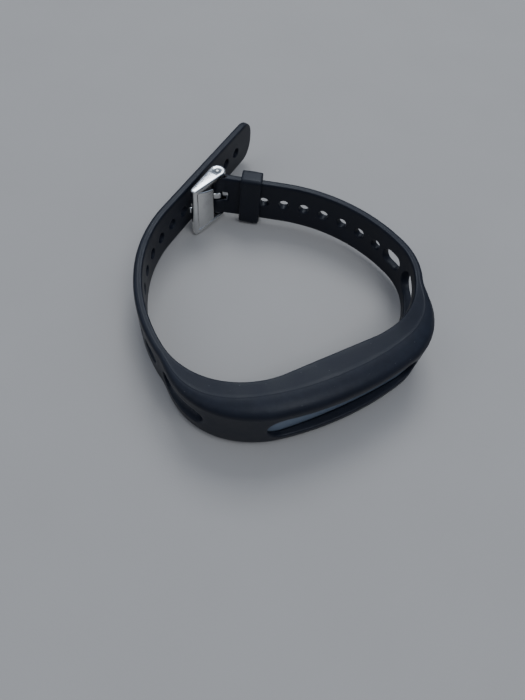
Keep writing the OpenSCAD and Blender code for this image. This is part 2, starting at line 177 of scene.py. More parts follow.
def half_width(s):
    return mix(SOCKET_W, STRAP_W, fade(s)) / 2


def outer_r(s):
    return mix(SOCKET_EDGE_R, STRAP_EDGE_R, fade(s))


def outer_in(s):
    return mix(SOCKET_EDGE_IN, STRAP_EDGE_R, fade(s))


def rounding(s, z, radius, depth):
    """How far the face has fallen at height z, near the band's elliptically rounded long edge."""
    over = max(0.0, abs(z) - (half_width(s) - radius)) / radius
    return depth * (1 - math.sqrt(max(0.0, 1 - over**2)))


def outer_face(s, z):
    return thick(s) - rounding(s, z, outer_r(s), outer_in(s))


def inner_face(s, z):
    return rounding(s, z, INNER_EDGE_R, INNER_EDGE_R)


def on_band(s, out, z):
    x, y, heading = spot(s)
    return Vector((x + out * math.sin(heading), y - out * math.cos(heading), z))


def find_s(base, x, z, face):
    """The s at which a face of the band is x along the tangent at base."""
    base_x, base_y, heading = spot(base)
    s = base + x
    for _ in range(24):
        p = on_band(s, face(s, z), z)
        s += 0.7 * (x - (p.x - base_x) * math.cos(heading) - (p.y - base_y) * math.sin(heading))
    return s


# ---------- mesh helpers ----------


class Shell:
    """Vertices, faces and edge wear of one closed mesh."""

    def __init__(self):
        self.points = []
        self.wear = []
        self.faces = []

    def add(self, point, wear=0.0):
        self.points.append(Vector(point))
        self.wear.append(wear)
        return len(self.points) - 1

    def ring(self, points, wear=0.0):
        return [self.add(p, wear) for p in points]

    def strip(self, a, b):
        for i in range(len(a)):
            j = (i + 1) % len(a)
            self.faces.append((a[i], a[j], b[j], b[i]))

    def between(self, a, b, steps):
        """Joins two rings with evenly spaced rings between them."""
        last = a
        for k in range(1, steps):
            middle = [self.points[i].lerp(self.points[j], k / steps) for i, j in zip(a, b)]
            now = self.ring(middle)
            self.strip(last, now)
            last = now
        self.strip(last, b)

    def fill(self, border, holes, inner=()):
        """Fills a border round its holes. Every entry is (u, v, vertex)."""
        loops = [border, *holes]
        flat = [p for loop in loops for p in loop] + list(inner)
        edges = []
        start = 0
        for loop in loops:
            edges += [(start + i, start + (i + 1) % len(loop)) for i in range(len(loop))]
            start += len(loop)
        coords = [Vector(p[:2]) for p in flat]
        found = delaunay_2d_cdt(coords, edges, [], 0, 1e-7)
        places, triangles, origins = found[0], found[2], found[3]
        outlines = [Outline(loop) for loop in loops]
        for triangle in triangles:
            middle = sum((places[i] for i in triangle), Vector((0, 0))) / 3
            if not outlines[0].holds(middle) or any(o.holds(middle) for o in outlines[1:]):
                continue
            self.faces.append(tuple(flat[origins[i][0]][2] for i in triangle))

    def make(self, name, place=BAND):
        """The finished object, its mesh in the row frame, in metres."""
        mesh = bpy.data.meshes.new(name)
        mesh.from_pydata([(p + place) * MM for p in self.points], [], self.faces)
        attribute = mesh.attributes.new("wear", "FLOAT", "POINT")
        attribute.data.foreach_set("value", self.wear)
        work = bmesh.new()
        work.from_mesh(mesh)
        bmesh.ops.recalc_face_normals(work, faces=work.faces)
        work.to_mesh(mesh)
        work.free()
        mesh.shade_smooth()
        made = bpy.data.objects.new(name, mesh)
        bpy.context.scene.collection.objects.link(made)
        return made


class Outline:
    """A closed loop of (u, v, ...) with a test for what lies inside."""

    def __init__(self, loop):
        self.points = [(p[0], p[1]) for p in loop]
        self.low = [min(p[k] for p in self.points) for k in (0, 1)]
        self.high = [max(p[k] for p in self.points) for k in (0, 1)]

    def holds(self, q):
        u, v = q[0], q[1]
        if not (self.low[0] < u < self.high[0] and self.low[1] < v < self.high[1]):
            return False
        inside = False
        last = self.points[-1]
        for now in self.points:
            crosses = (now[1] > v) != (last[1] > v)
            if crosses and u < (last[0] - now[0]) * (v - now[1]) / (last[1] - now[1]) + now[0]:
                inside = not inside
            last = now
        return inside


def round_rect(width, height, radius, arc=10, long_side=1, short_side=1):
    """Rounded rectangle as (x, y, normal x, normal y), the same count for any size."""
    x, y = width / 2 - radius, height / 2 - radius
    corners = [(x, y), (-x, y), (-x, -y), (x, -y)]
    sides = [long_side, short_side, long_side, short_side]
    made = []
    for index, (cx, cy) in enumerate(corners):
        for k in range(arc + 1):
            a = math.pi / 2 * (index + k / arc)
            made.append((cx + radius * math.cos(a), cy + radius * math.sin(a), math.cos(a), math.sin(a)))
        next_x, next_y = corners[(index + 1) % 4]
        a = math.pi / 2 * (index + 1)
        start = (cx + radius * math.cos(a), cy + radius * math.sin(a))
        end = (next_x + radius * math.cos(a), next_y + radius * math.sin(a))
        for k in range(1, sides[index]):
            share = k / sides[index]
            made.append(
                (mix(start[0], end[0], share), mix(start[1], end[1], share), math.cos(a), math.sin(a))
            )
    return made


def spread(outline, distance):
    """The outline moved out by a distance along its normals."""
    return [(x + nx * distance, y + ny * distance) for x, y, nx, ny in outline]


def with_normals(points):
    """Points of a closed loop, running anticlockwise, with normals that point out of it."""
    made = []
    count = len(points)
    for i, (x, y) in enumerate(points):
        before, after = points[i - 1], points[(i + 1) % count]
        dx, dy = after[0] - before[0], after[1] - before[1]
        length = math.hypot(dx, dy)
        made.append((x, y, dy / length, -dx / length))
    return made


def arc_points(cx, cy, radius, start, end, steps):
    """Points along an arc, from one angle to another in degrees."""
    angles = [math.radians(mix(start, end, k / steps)) for k in range(steps + 1)]
    return [(cx + radius * math.cos(a), cy + radius * math.sin(a)) for a in angles]


def slab(shell, outline, low, high, round_r, holes=(), hole_round=0.15, place=lambda x, y, z: (x, y, z)):
    """An outline with normals stretched from low to high, its rims rounded, with round holes (x, y, r)."""
    steps = 4
    profile = []
    for end, side in ((high, 1), (low, -1)):
        part = [
            (round_r * (1 - math.sin(a)), end - side * round_r * (1 - math.cos(a)))
            for a in (math.pi / 2 * k / steps for k in range(steps + 1))
        ]
        profile += part if side == 1 else part[::-1]
    rings = []
    for inset, z in profile:
        wear = 1.0 - min(1.0, inset / round_r)
        rings.append(shell.ring([place(x, y, z) for x, y in spread(outline, -inset)], wear * 0.6))
    for a, b in zip(rings, rings[1:]):
        shell.strip(a, b)
    hole_rings = []
    for hx, hy, hr in holes:
        circle = round_rect(2 * hr, 2 * hr, hr, arc=7)
        circle = [p for i, p in enumerate(circle) if i % 8]
        both = []
        for end, side in ((high, 1), (low, -1)):
            wide = shell.ring([place(hx + x, hy + y, end) for x, y in spread(circle, hole_round)], 0.6)
            edge = [place(hx + x, hy + y, end - side * hole_round) for x, y in spread(circle, 0)]
            near = shell.ring(edge, 0.6)
            shell.strip(wide, near)
            both.append((wide, near))
        shell.strip(both[0][1], both[1][1])
        flat = [(hx + x, hy + y) for x, y in spread(circle, hole_round)]
        hole_rings.append((flat, both[0][0], both[1][0]))
    rim = spread(outline, -profile[0][0])
    for ring, side in ((rings[0], 1), (rings[-1], 2)):
        border = [(x, y, v) for (x, y), v in zip(rim, ring)]
        shell.fill(border, [[(x, y, v) for (x, y), v in zip(h[0], h[side])] for h in hole_rings])


# ---------- strap ----------

GRID = 0.62
RIM_STEPS = 4
WINDOW_RIM = 0.45
POCKET_RIM = 0.35
SLOT_RIM = 0.4
HOLE_RIM = 0.28
NOTCH_R = 0.3


def rim_profile(radius):
    """Offset out of an opening's wall and fall below the face, from the face to the wall."""
    angles = [math.pi / 2 * (1 - k / RIM_STEPS) for k in range(RIM_STEPS + 1)]
    return [(radius * (1 - math.cos(a)), radius * (1 - math.sin(a))) for a in angles]


def rim_rings(shell, outline, base, radius, face, side):
    """Rounds an opening's rim on one face. Returns the face's hole and the ring at the wall."""
    rings = []
    border = None
    for offset, fall in rim_profile(radius):
        spots = [(find_s(base, x, z, face), z) for x, z in spread(outline, offset)]
        points = [on_band(s, face(s, z) - side * fall, z) for s, z in spots]
        ring = shell.ring(points, 0.8 if fall > 0 and offset > 0 else 0.35)
        if border is None:
            border = [(s, z, v) for (s, z), v in zip(spots, ring)]
        rings.append(ring)
    for a, b in zip(rings, rings[1:]):
        shell.strip(a, b)
    return border, rings[-1]


def through_opening(shell, base, outline, radius):
    """A slot or hole through the strap. Returns its holes in the outer and inner face."""
    outer_hole, outer_ring = rim_rings(shell, outline, base, radius, outer_face, 1)
    inner_hole, inner_ring = rim_rings(shell, outline, base, radius, inner_face, -1)
    shell.between(outer_ring, inner_ring, max(1, round(thick(base) / 1.2)))
    return outer_hole, inner_hole


def window_and_pocket(shell):
    """The window in the lip and the capsule's pocket behind it."""
    sizes = {"arc": 16, "long_side": 40, "short_side": 3}
    window = round_rect(WINDOW_LEN, WINDOW_H, (WINDOW_H - WINDOW_FLAT) / 2, **sizes)
    pocket = round_rect(
        CAPSULE_LEN + 2 * POCKET_GAP, CAPSULE_H + 2 * POCKET_GAP, CAPSULE_R + POCKET_GAP, **sizes
    )
    outer_hole, wall = rim_rings(shell, window, 0, WINDOW_RIM, outer_face, 1)
    inner_hole, mouth = rim_rings(shell, pocket, 0, POCKET_RIM, inner_face, -1)

    def behind_lip(outline):
        centre = CAPSULE_FRONT_R + LIP_T - SOCKET_T
        radius = CAPSULE_FRONT_R
        return [(x, centre - math.sqrt(radius**2 - x * x), z) for x, z in spread(outline, 0)]

    lip_edge = shell.ring(behind_lip(window))
    lip_root = shell.ring(behind_lip(pocket))
    shell.between(wall, lip_edge, 3)
    shell.between(lip_edge, lip_root, 3)
    shell.between(lip_root, mouth, 4)
    return outer_hole, inner_hole


def strap_outline():
    """Silhouette in (s, z), anticlockwise: (s, z, normal s, normal z, outer radii, inner radius)."""
    step = 0.8
    tip_len, tip_power = 5.6, 2.35
    notch_z = TONGUE_W / 2 + TONGUE_SIDE
    notch_s = BUCKLE_END - (ROLL_R + TONGUE_T + TONGUE_SIDE)
    lower = []
    steps = 30
    for k in range(steps):  # the tail's round tip, from its apex down to the long edge
        a = math.pi / 2 * k / steps
        s = -TAIL_END + tip_len * (1 - math.cos(a) ** (2 / tip_power))
        lower.append((s, -STRAP_W / 2 * math.sin(a) ** (2 / tip_power)))
    count = round((BUCKLE_END + TAIL_END - tip_len) / step)
    for k in range(count):
        s = mix(-TAIL_END + tip_len, BUCKLE_END - STRAP_EDGE_R, k / count)
        lower.append((s, -half_width(s)))
    corner = BUCKLE_END - STRAP_EDGE_R, STRAP_EDGE_R - STRAP_W / 2
    lower += arc_points(*corner, STRAP_EDGE_R, -90, 0, 5)
    lower += arc_points(BUCKLE_END - NOTCH_R, -notch_z - NOTCH_R, NOTCH_R, 0, 90, 4)
    lower += arc_points(notch_s + NOTCH_R, -notch_z + NOTCH_R, NOTCH_R, 270, 180, 4)
    points = lower + [(s, -z) for s, z in lower[:0:-1]]
    made = []
    for s, z, ns, nz in with_normals(points):
        in_notch = abs(z) < notch_z + 1.5 * NOTCH_R and s > notch_s - NOTCH_R
        outer = (NOTCH_R, NOTCH_R) if in_notch else (outer_r(s), outer_in(s))
        made.append((s, z, ns, nz, outer, NOTCH_R if in_notch else INNER_EDGE_R))
    return made


def strap_side(shell, outline):
    """The narrow side round the whole strap. Returns the outer and inner face's borders."""
    seam = 0.045
    quarter = [math.pi / 4 * (1 + k / 4) for k in range(5)]
    profile = [("outer", a) for a in quarter]
    profile += [("seam", 0.0), ("seam", 1.0), ("seam", 0.0)]
    profile += [("flat", k / 5) for k in range(1, 5)]
    profile += [("inner", a) for a in quarter[::-1]]
    rings, borders = [], []
    for row, (kind, value) in enumerate(profile):
        points, flat = [], []
        for s, z, ns, nz, ro, ri in outline:
            t = thick(s)
            ro, depth = ro
            flat_from, flat_to = t - depth, ri
            seam_w = min(0.12, (flat_from - flat_to) / 8)
            if kind == "outer":
                inset, out = ro * (1 - math.sin(value)), t - depth * (1 - math.cos(value))
            elif kind == "inner":
                inset, out = ri * (1 - math.sin(value)), ri * (1 - math.cos(value))
            elif kind == "flat":
                inset, out = 0.0, mix(flat_from - 3 * seam_w, flat_to, value)
            else:
                inset, out = -seam * value, flat_from - seam_w * (row - 4)
            u, v = s - ns * inset, z - nz * inset
            points.append(on_band(u, out, v))
            flat.append((u, v))
        wear = 0.5 if kind in ("outer", "inner") else 0.0
        ring = shell.ring(points, wear)
        rings.append(ring)
        borders.append([(u, v, i) for (u, v), i in zip(flat, ring)])
    for a, b in zip(rings, rings[1:]):
        shell.strip(a, b)
    return borders[0], borders[-1]


def face_grid(shell, border, holes, face):
    """Evenly spaced points over a face, clear of its border and holes."""
    loops = [border, *holes]
    tree = kdtree.KDTree(sum(len(loop) for loop in loops))
    for i, (u, v, _) in enumerate(p for loop in loops for p in loop):
        tree.insert((u, v, 0), i)
    tree.balance()
    edge = Outline(border)
    inside = [Outline(hole) for hole in holes]
    made = []
    rows = math.ceil(SOCKET_W / 2 / GRID)
    for i in range(math.ceil((BUCKLE_END + TAIL_END) / GRID)):
        for j in range(-rows, rows + 1):
            s = -TAIL_END + (i + 0.5 * (j % 2)) * GRID
            z = j * GRID * 0.87
            if not edge.holds((s, z)) or tree.find((s, z, 0))[2] < 0.55 * GRID:
                continue
            if any(hole.holds((s, z)) for hole in inside):
                continue
            made.append((s, z, shell.add(on_band(s, face(s, z), z))))
    return made


def knuckle_outline():
    """Plan of the strap's rolled end about the spring bar: u along the strap, v out of the loop."""
    half = STRAP_T / 2 - 0.02
    blend_r = 3.0
    back = math.sqrt((ROLL_R + blend_r) ** 2 - (half + blend_r) ** 2)
    touch = math.degrees(math.atan2(half + blend_r, -back))
    upper = arc_points(0, 0, ROLL_R, 0, touch, 16)
    upper += arc_points(-back, half + blend_r, blend_r, touch - 180, -90, 6)[1:]
    upper += [(-back - 0.4, half - 0.3), (-back - 0.6, 0.3)]
    return with_normals([(u, -v) for u, v in upper[:0:-1]] + upper)


def bar_place(turn, lean=0.0):
    """Turns a plan about the spring bar's axis into the band's frame."""
    x, y, heading = spot(BUCKLE_END)
    centre = Vector((x + STRAP_T / 2 * math.sin(heading), y - STRAP_T / 2 * math.cos(heading), 0))
    matrix = Matrix.Rotation(turn + lean, 3, "Z")
    return lambda u, v, z: centre + matrix @ Vector((u, v, z))


def make_strap():
    shell = Shell()
    outer_holes, inner_holes = [], []
    openings = [window_and_pocket(shell)]
    for side in (-1, 1):
        for middle, length, height in SLOTS:
            slot = round_rect(length, height, height / 2 - 0.01, arc=9, long_side=round(length / 1.2))
            openings.append(through_opening(shell, side * middle, slot, SLOT_RIM))
    hole = [p for i, p in enumerate(round_rect(HOLE_D, HOLE_D, HOLE_D / 2, arc=8)) if i % 9]
    for side, last in ((-1, TAIL_END - TIP_BARE), (1, BUCKLE_END - END_BARE)):
        for k in range(int((last - HOLE_AT) / HOLE_PITCH) + 1):
            openings.append(through_opening(shell, side * (HOLE_AT + k * HOLE_PITCH), hole, HOLE_RIM))
    for outer, inner in openings:
        outer_holes.append(outer)
        inner_holes.append(inner)
    outer_border, inner_border = strap_side(shell, strap_outline())
    for border, holes, face in (
        (outer_border, outer_holes, outer_face),
        (inner_border, inner_holes, inner_face),
    ):
        shell.fill(border, holes, face_grid(shell, border, holes, face))
    heading = spot(BUCKLE_END)[2]
    notch_z = TONGUE_W / 2 + TONGUE_SIDE
    outline = knuckle_outline()
    for side in (-1, 1):
        low, high = sorted((side * notch_z, side * STRAP_W / 2))
        tunnel = [(0, 0, BAR_R + TURN_GAP)]
        slab(shell, outline, low, high, 0.5, holes=tunnel, place=bar_place(heading))
    return shell.make("strap_moulding")


# ---------- keeper ----------


def make_keeper():
    """A loop round the strap with soft edges and a slightly crowned outside."""
    shell = Shell()
    width = STRAP_T + 2 * KEEPER_GAP + 2 * KEEPER_T
    height = STRAP_W + 2 * KEEPER_GAP + 2 * KEEPER_T
    edge = 0.38
    crown_drop = 0.1
    x, y, heading = spot(BUCKLE_END - KEEPER_BACK)
    out_x, out_y = math.sin(heading), -math.cos(heading)
    half = KEEPER_LEN / 2
    profile = []
    for k in range(13):  # across the outside
        along = mix(edge - half, half - edge, k / 12)
        profile.append((crown_drop * (along / half) ** 2, along, 0.1))
    for k in range(1, 6):
        a = math.pi / 2 * k / 6
        profile.append((crown_drop + edge * (1 - math.cos(a)), half - edge + edge * math.sin(a), 0.8))
    profile.append((KEEPER_T / 2, half, 0.4))
    for k in range(1, 7):
        a = math.pi / 2 * k / 6
        profile.append((KEEPER_T - edge * (1 - math.sin(a)), half - edge * (1 - math.cos(a)), 0.5))
    profile += [(depth, -along, wear) for depth, along, wear in profile[:12:-1]]
    rings = []
    for depth, along, wear in profile:
        radius = max(KEEPER_R - depth, 0.25)
        outline = round_rect(width - 2 * depth, height - 2 * depth, radius, arc=8, long_side=4, short_side=14)
        points = []
        for out, z in spread(outline, 0):
            out += STRAP_T / 2
            px = x + out * out_x + along * math.cos(heading)
            py = y + out * out_y + along * math.sin(heading)
            points.append((px, py, z))
        rings.append(shell.ring(points, wear))
    for a, b in zip(rings, rings[1:] + rings[:1]):
        shell.strip(a, b)
    return shell.make("keeper_loop")


# ---------- buckle ----------


def teardrop(eye, end, distance):
    """Two circles and the straight tangents that join them."""
    a = math.degrees(math.acos((eye - end) / distance))
    points = arc_points(distance, 0, end, -a, a, 10)
    steps = 14
    points += [
        (mix(points[-1][0], eye * math.cos(math.radians(a)), k / steps),
         mix(points[-1][1], eye * math.sin(math.radians(a)), k / steps))
        for k in range(1, steps)
    ]
    points += arc_points(0, 0, eye, a, 360 - a, 36)
    start, end_point = points[-1], points[0]
    points += [
        (mix(start[0], end_point[0], k / steps), mix(start[1], end_point[1], k / steps))
        for k in range(1, steps)
    ]
    return with_normals(points)


def make_buckle():
    shell = Shell()
    place = bar_place(BUCKLE_HEADING)
    far = BUCKLE_LEN - ARM_END_R
    arm = teardrop(EYE_R, ARM_END_R, far)
    for side in (-1, 1):
        low, high = sorted((side * ARM_Z, side * (ARM_Z + ARM_T)))
        slab(shell, arm, low, high, 0.42, holes=[(0, 0, BAR_R / 2 + TURN_GAP)], place=place)
    # the far bar, its ends just inside the arms
    bar = round_rect(2 * ARM_END_R, 2 * ARM_END_R, ARM_END_R - 0.01, arc=8)
    bar = [(x + far, y, nx, ny) for x, y, nx, ny in bar]
    slab(shell, bar, -ARM_Z - ARM_T * 0.6, ARM_Z + ARM_T * 0.6, 0.3, place=place)
    # the cross plate, a slightly arched sheet that narrows towards the strap
    length = (far - PLATE_BACK) / math.cos(PLATE_LEAN)
    far_half, near_half = ARM_Z + 0.3 * ARM_T, ARM_Z - 0.7 * ARM_T
    rim = PLATE_T * 0.42
    rows, columns = 16, 24
    arch = 0.35

    def sheet(share, across, level, inset):
        """A point of the plate: share back from the bar, across -1 to 1, level across its thickness."""
        u = share * (length - inset)
        half = mix(far_half, near_half, share) - inset
        lift = arch * math.sin(math.pi * share)
        angle = math.pi - PLATE_LEAN
        x = far + u * math.cos(angle) + (lift + level) * math.sin(angle)
        y = u * math.sin(angle) - (lift + level) * math.cos(angle)
        return place(x, y, across * half)

    border = [(0.0, mix(-1, 1, k / columns)) for k in range(columns)]
    border += [(k / rows, 1.0) for k in range(rows)]
    border += [(1.0, mix(1, -1, k / columns)) for k in range(columns)]
    border += [(1 - k / rows, -1.0) for k in range(rows)]
    rings = []
    for k in range(9):
        a = math.pi * k / 8
        inset = rim * (1 - math.sin(a))
        level = math.cos(a) * rim + math.copysign(PLATE_T / 2 - rim, math.cos(a)) * (k != 4)
        rings.append(shell.ring([sheet(u, v, level, inset) for u, v in border], 0.8 * math.sin(a)))
    for a, b in zip(rings, rings[1:]):
        shell.strip(a, b)
    for ring, level in ((rings[0], PLATE_T / 2), (rings[-1], -PLATE_T / 2)):
        grid = {}
        edge = {(round(u * rows), round((v + 1) / 2 * columns)): i for (u, v), i in zip(border, ring)}
        for i in range(rows + 1):
            for j in range(columns + 1):
                key = (i, j)
                grid[key] = edge.get(key)
                if grid[key] is None:
                    grid[key] = shell.add(sheet(i / rows, 2 * j / columns - 1, level, rim))
        for i in range(rows):
            for j in range(columns):
                shell.faces.append((grid[i, j], grid[i + 1, j], grid[i + 1, j + 1], grid[i, j + 1]))
    return shell.make("buckle_polished")


def make_tongue():
    """Hub and flat prong, seen along the spring bar, stretched to the tongue's width."""
    shell = Shell()
    half = TONGUE_T / 2
    blend_r = 1.6
    back = math.sqrt((HUB_R + blend_r) ** 2 - (half + blend_r) ** 2)
    touch = math.degrees(math.atan2(half + blend_r, back))
    tip = TONGUE_LEN - half
    upper = arc_points(tip, 0, half, 0, 90, 7)
    steps = 12
    upper += [(mix(tip, back, k / steps), half) for k in range(1, steps)]
    upper += arc_points(back, half + blend_r, blend_r, 270, 180 + touch, 6)
    upper += arc_points(0, 0, HUB_R, touch, 180, 20)[1:]
    outline = with_normals(upper + [(u, -v) for u, v in upper[-2:0:-1]])
    slab(
        shell, outline, -TONGUE_W / 2, TONGUE_W / 2, 0.28,
        holes=[(0, 0, BAR_R + TURN_GAP)], place=bar_place(BUCKLE_HEADING, TONGUE_SWING),
    )
    return shell.make("tongue_polished")


# ---------- materials ----------


class Look:
    """A Principled material and the few texture nodes that it needs."""

    def __init__(self, name, colour, roughness, metallic=0.0, specular=0.5):
        self.material = bpy.data.materials.new(name)
        self.material.use_nodes = True
        self.tree = self.material.node_tree
        self.shader = self.tree.nodes["Principled BSDF"]
        self.shader.inputs["Base Color"].default_value = (*colour, 1)
        self.shader.inputs["Roughness"].default_value = roughness
        self.shader.inputs["Metallic"].default_value = metallic
        self.shader.inputs["Specular IOR Level"].default_value = specular
        self.place = self.tree.nodes.new("ShaderNodeTexCoord").outputs["Object"]
        self.height = None

    def link(self, source, node, socket):
        self.tree.links.new(source, node.inputs[socket])

    def stretched(self, scale):
        """Object coordinates stretched along the axes, for brushed or scraped textures."""
        node = self.tree.nodes.new("ShaderNodeMapping")
        node.inputs["Scale"].default_value = scale
        self.link(self.place, node, "Vector")
        return node.outputs["Vector"]

    def noise(self, size, detail=3.0, rough=0.5, place=None):
        """Noise with features of about the given size in millimetres."""
        node = self.tree.nodes.new("ShaderNodeTexNoise")
        node.inputs["Scale"].default_value = 1 / (size * MM)
        node.inputs["Detail"].default_value = detail
        node.inputs["Roughness"].default_value = rough
        self.link(place or self.place, node, "Vector")
        return node.outputs["Fac"]

    def cells(self, size):
        """Distance from scattered points, about the given size in millimetres apart."""
        node = self.tree.nodes.new("ShaderNodeTexVoronoi")
        node.inputs["Scale"].default_value = 1 / (size * MM)
        self.link(self.place, node, "Vector")
        return node.outputs["Distance"]

    def wear(self):
        node = self.tree.nodes.new("ShaderNodeAttribute")
        node.attribute_name = "wear"
        return node.outputs["Fac"]

    def band(self, source, low, high, to_low=0.0, to_high=1.0):
        """Maps a value's range low to high onto another one, and clips it there."""
        node = self.tree.nodes.new("ShaderNodeMapRange")
        for socket, value in zip(("From Min", "From Max", "To Min", "To Max"), (low, high, to_low, to_high)):
            node.inputs[socket].default_value = value
        self.link(source, node, "Value")
        return node.outputs["Result"]

    def calc(self, operation, a, b):
        node = self.tree.nodes.new("ShaderNodeMath")
        node.operation = operation
        for index, value in enumerate((a, b)):
            if isinstance(value, (int, float)):
                node.inputs[index].default_value = value
            else:
                self.tree.links.new(value, node.inputs[index])
        return node.outputs["Value"]

    def blend(self, factor, a, b):
        """Mixes two colours, each a tuple or another node's output."""
        node = self.tree.nodes.new("ShaderNodeMix")
        node.data_type = "RGBA"
        self.tree.links.new(factor, node.inputs["Factor"])
        for index, value in ((6, a), (7, b)):
            if isinstance(value, tuple):
                node.inputs[index].default_value = (*value, 1)
            else:
                self.tree.links.new(value, node.inputs[index])
        return node.outputs[2]

    def colour(self, source):
        self.link(source, self.shader, "Base Color")

    def roughness(self, source):
        self.link(source, self.shader, "Roughness")

    def bump(self, source, distance, strength=1.0):
        """Adds a bump of the given height in millimetres."""
        node = self.tree.nodes.new("ShaderNodeBump")
        node.inputs["Distance"].default_value = distance * MM
        node.inputs["Strength"].default_value = strength
        self.link(source, node, "Height")
        if self.height:
            self.link(self.height, node, "Normal")
        self.height = node.outputs["Normal"]
        self.link(self.height, self.shader, "Normal")


def elastomer(name, base, lift):
    """Moulded silicone: fine grain, dust in it, and edges rubbed a little smoother and paler."""
    look = Look(name, base, 0.5, specular=0.26)
    patches = look.band(look.noise(9, 4, 0.6), 0.35, 0.7)
    dust = look.band(look.noise(0.22, 2, 0.7), 0.7, 0.8)
    specks = look.band(look.cells(1.7), 0.055, 0.03)
    rubbed = look.calc("MULTIPLY", look.wear(), look.band(look.noise(2.4, 3, 0.7), 0.42, 0.68))
    colour = look.blend(patches, base, tuple(c * 1.35 for c in base))
    colour = look.blend(look.calc("MULTIPLY", rubbed, 0.55), colour, lift)
    colour = look.blend(look.calc("MULTIPLY", dust, 0.22), colour, (0.16, 0.17, 0.18))
    look.colour(look.blend(look.calc("MULTIPLY", specks, 0.35), colour, (0.3, 0.3, 0.3)))
    rough = look.calc("ADD", look.band(patches, 0, 1, 0.4, 0.5), look.calc("MULTIPLY", rubbed, -0.07))
    look.roughness(look.calc("ADD", rough, look.calc("MULTIPLY", dust, 0.15)))
    look.bump(look.noise(0.16, 3, 0.6), 0.012)
    look.bump(look.noise(1.5, 2, 0.5), 0.02)
    return look.material


def polished_steel(name, colour, rough):
    """Polished steel with hairline scratches, smudges and small dents."""
    look = Look(name, colour, rough, metallic=1.0)
    smudge = look.band(look.noise(2.6, 4, 0.6), 0.4, 0.7)
    hair = look.band(look.noise(0.5, 3, 0.7, look.stretched((1, 12, 3))), 0.52, 0.72)
    look.colour(look.blend(look.calc("MULTIPLY", smudge, 0.5), colour, tuple(c * 0.8 for c in colour)))
    smudged = look.band(smudge, 0, 1, rough, rough + 0.14)
    look.roughness(look.calc("ADD", smudged, look.calc("MULTIPLY", hair, 0.08)))
    look.bump(hair, 0.004)
    look.bump(look.noise(2.0, 1, 0.4), 0.018)
    return look.material


def glossy_cover(name, colour, rough):
    """Smoked cover: smooth gloss with wipe marks, fine scratches and dust."""
    look = Look(name, colour, rough, specular=0.5)
    look.shader.inputs["Coat Weight"].default_value = 0.6
    look.shader.inputs["Coat Roughness"].default_value = 0.06
    wiped = look.band(look.noise(3.5, 4, 0.65, look.stretched((0.35, 1, 1.6))), 0.38, 0.7)
    scratch = look.band(look.noise(0.4, 2, 0.6, look.stretched((0.12, 1, 2.2))), 0.62, 0.7)
    dust = look.band(look.noise(0.2, 2, 0.7), 0.72, 0.8)
    look.colour(look.blend(look.calc("MULTIPLY", dust, 0.3), colour, (0.25, 0.26, 0.28)))
    wiped_rough = look.band(wiped, 0, 1, rough, rough + 0.12)
    look.roughness(look.calc("ADD", wiped_rough, look.calc("MULTIPLY", dust, 0.3)))
    look.bump(scratch, 0.003)
    return look.material


def moulded_plastic(name, colour, rough, grain=0.12, depth=0.01):
    """Moulded plastic with a fine spark-eroded grain and slight shade changes."""
    look = Look(name, colour, rough, specular=0.4)
    shade = look.band(look.noise(4, 4, 0.6), 0.35, 0.7)
    look.colour(look.blend(shade, colour, tuple(min(1, c * 1.25 + 0.004) for c in colour)))
    look.roughness(look.band(look.noise(1.2, 4, 0.6), 0.3, 0.7, rough - 0.06, rough + 0.08))
    look.bump(look.noise(grain, 2, 0.6), depth)
    return look.material


def drawn_metal(name, colour, rough, stretch=(6, 6, 0.6)):
    """Drawn or plated metal with fine lines along it."""
    look = Look(name, colour, rough, metallic=1.0)
    lines = look.noise(0.3, 3, 0.65, look.stretched(stretch))
    look.colour(look.blend(look.band(lines, 0.35, 0.7), tuple(c * 0.86 for c in colour), colour))
    look.roughness(look.band(lines, 0.3, 0.7, rough - 0.05, rough + 0.12))
    look.bump(lines, 0.004)
    return look.material


def printed_board(name, colour):
    """Solder mask with faint tracks under it."""
    look = Look(name, colour, 0.4, specular=0.5)
    tracks = look.band(look.cells(1.1), 0.28, 0.34)
    look.colour(look.blend(look.calc("MULTIPLY", tracks, 0.5), colour, tuple(c * 1.7 for c in colour)))
    look.roughness(look.band(tracks, 0, 1, 0.36, 0.46))
    look.bump(tracks, 0.01)
    return look.material


